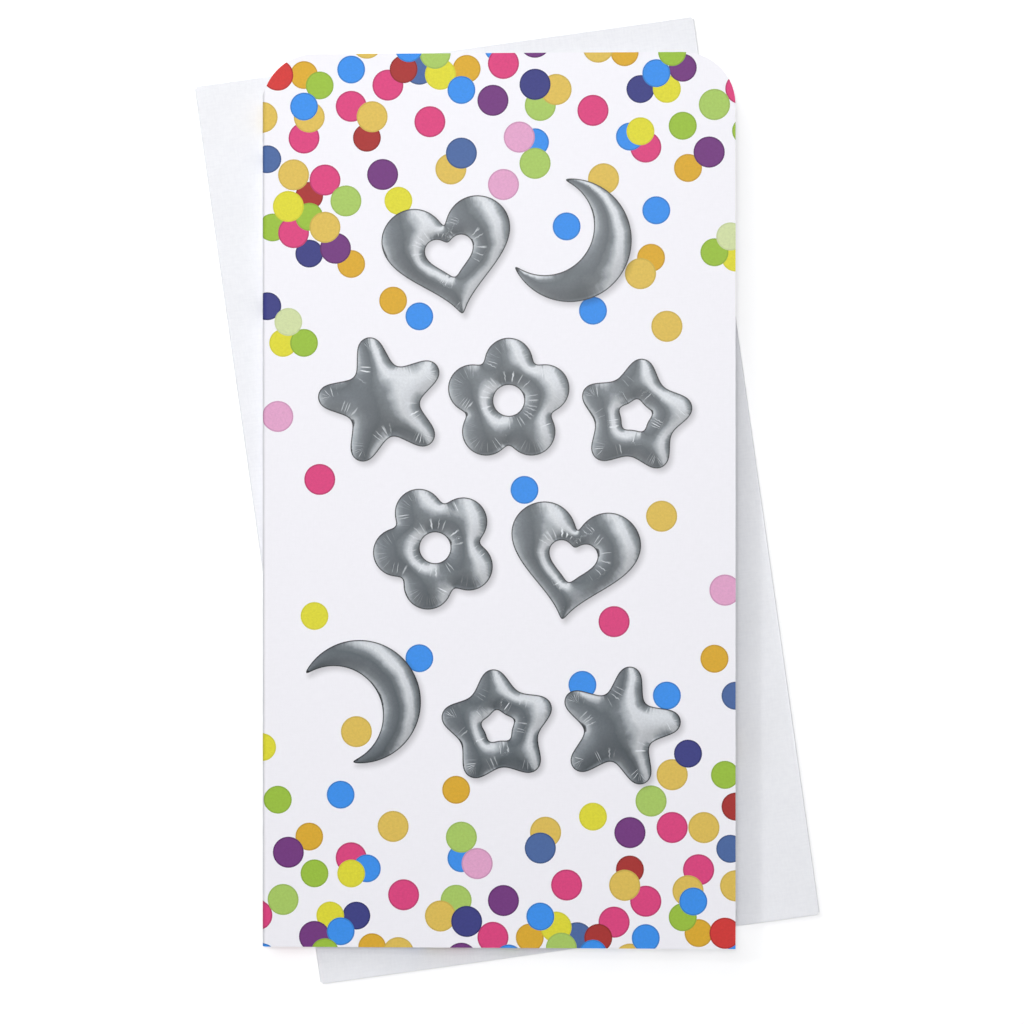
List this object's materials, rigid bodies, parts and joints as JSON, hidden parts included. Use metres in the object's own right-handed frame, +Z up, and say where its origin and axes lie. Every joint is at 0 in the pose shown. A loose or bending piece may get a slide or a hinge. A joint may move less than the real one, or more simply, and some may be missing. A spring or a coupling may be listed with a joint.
{
  "type": "gift card holder",
  "caption": "Slim folded card holder with a glued inner pocket for a plastic card, lying face up on its matching paper envelope with a folding flap.",
  "frame": {"origin": "centre of the envelope on the table, which is also the centre of the whole object's footprint, at the lowest face", "axes": "+Y runs up the closed holder from its square corners to its rounded ones, +X from its fold to its free edge, +Z up from the table through the printed front"},
  "size_m": [0.1194, 0.185, 0.0065],
  "materials": {
    "printed_board": "satin",
    "envelope_paper": "matte",
    "envelope_gum": "gloss",
    "pocket_glue": "satin",
    "card_plastic": "gloss"
  },
  "bodies": {
    "envelope": {"envelope_face": "envelope_paper", "envelope_back": "envelope_paper", "envelope_side_fold": "envelope_paper", "envelope_mouth_fold": "envelope_paper", "envelope_top_flap": "envelope_paper", "envelope_bottom_flap": "envelope_paper", "envelope_seam_gum": "envelope_gum"},
    "flap": {"closing_flap": "envelope_paper", "closing_flap_fold": "envelope_paper", "closing_flap_gum": "envelope_gum"},
    "holder": {"back_cover": "printed_board", "back_fold": "printed_board", "pocket_panel": "printed_board", "pocket_bottom_fold": "printed_board", "pocket_left_fold": "printed_board", "pocket_right_fold": "printed_board", "pocket_left_tab": "printed_board", "pocket_right_tab": "printed_board", "pocket_glue": "pocket_glue"},
    "spine": {"spine": "printed_board"},
    "cover": {"front_fold": "printed_board", "front_cover": "printed_board"},
    "card": {"gift_card": "card_plastic"}
  },
  "joints": [
    {"name": "holder_lift", "type": "slide", "parent": "envelope", "child": "holder", "axis": [0, 0, 1], "range_m": [0, 0.06]},
    {"name": "spine_fold", "type": "hinge", "parent": "holder", "child": "spine", "pos_m": [-0.04634, 0, 0.00101], "axis": [0, -1, 0], "range_deg": [-1, 89], "stiffness_Nm_per_rad": 0.008, "springref_deg": 15.58},
    {"name": "cover_fold", "type": "hinge", "parent": "spine", "child": "cover", "pos_m": [-0.04637, 0, 0.0031], "axis": [0, -1, 0], "range_deg": [-1, 89], "stiffness_Nm_per_rad": 0.008, "springref_deg": 15.58},
    {"name": "card_slide", "type": "slide", "parent": "holder", "child": "card", "axis": [0, 1, 0], "range_m": [0, 0.05]},
    {"name": "flap_fold", "type": "hinge", "parent": "envelope", "child": "flap", "pos_m": [-0.04778, -0.00671, 0.00035], "axis": [-0.1392, 0.9903, 0], "range_deg": [0, 179]}
  ],
  "couplings": [
    {"joint": "spine_fold", "follows": "cover_fold", "ratio": 1}
  ]
}
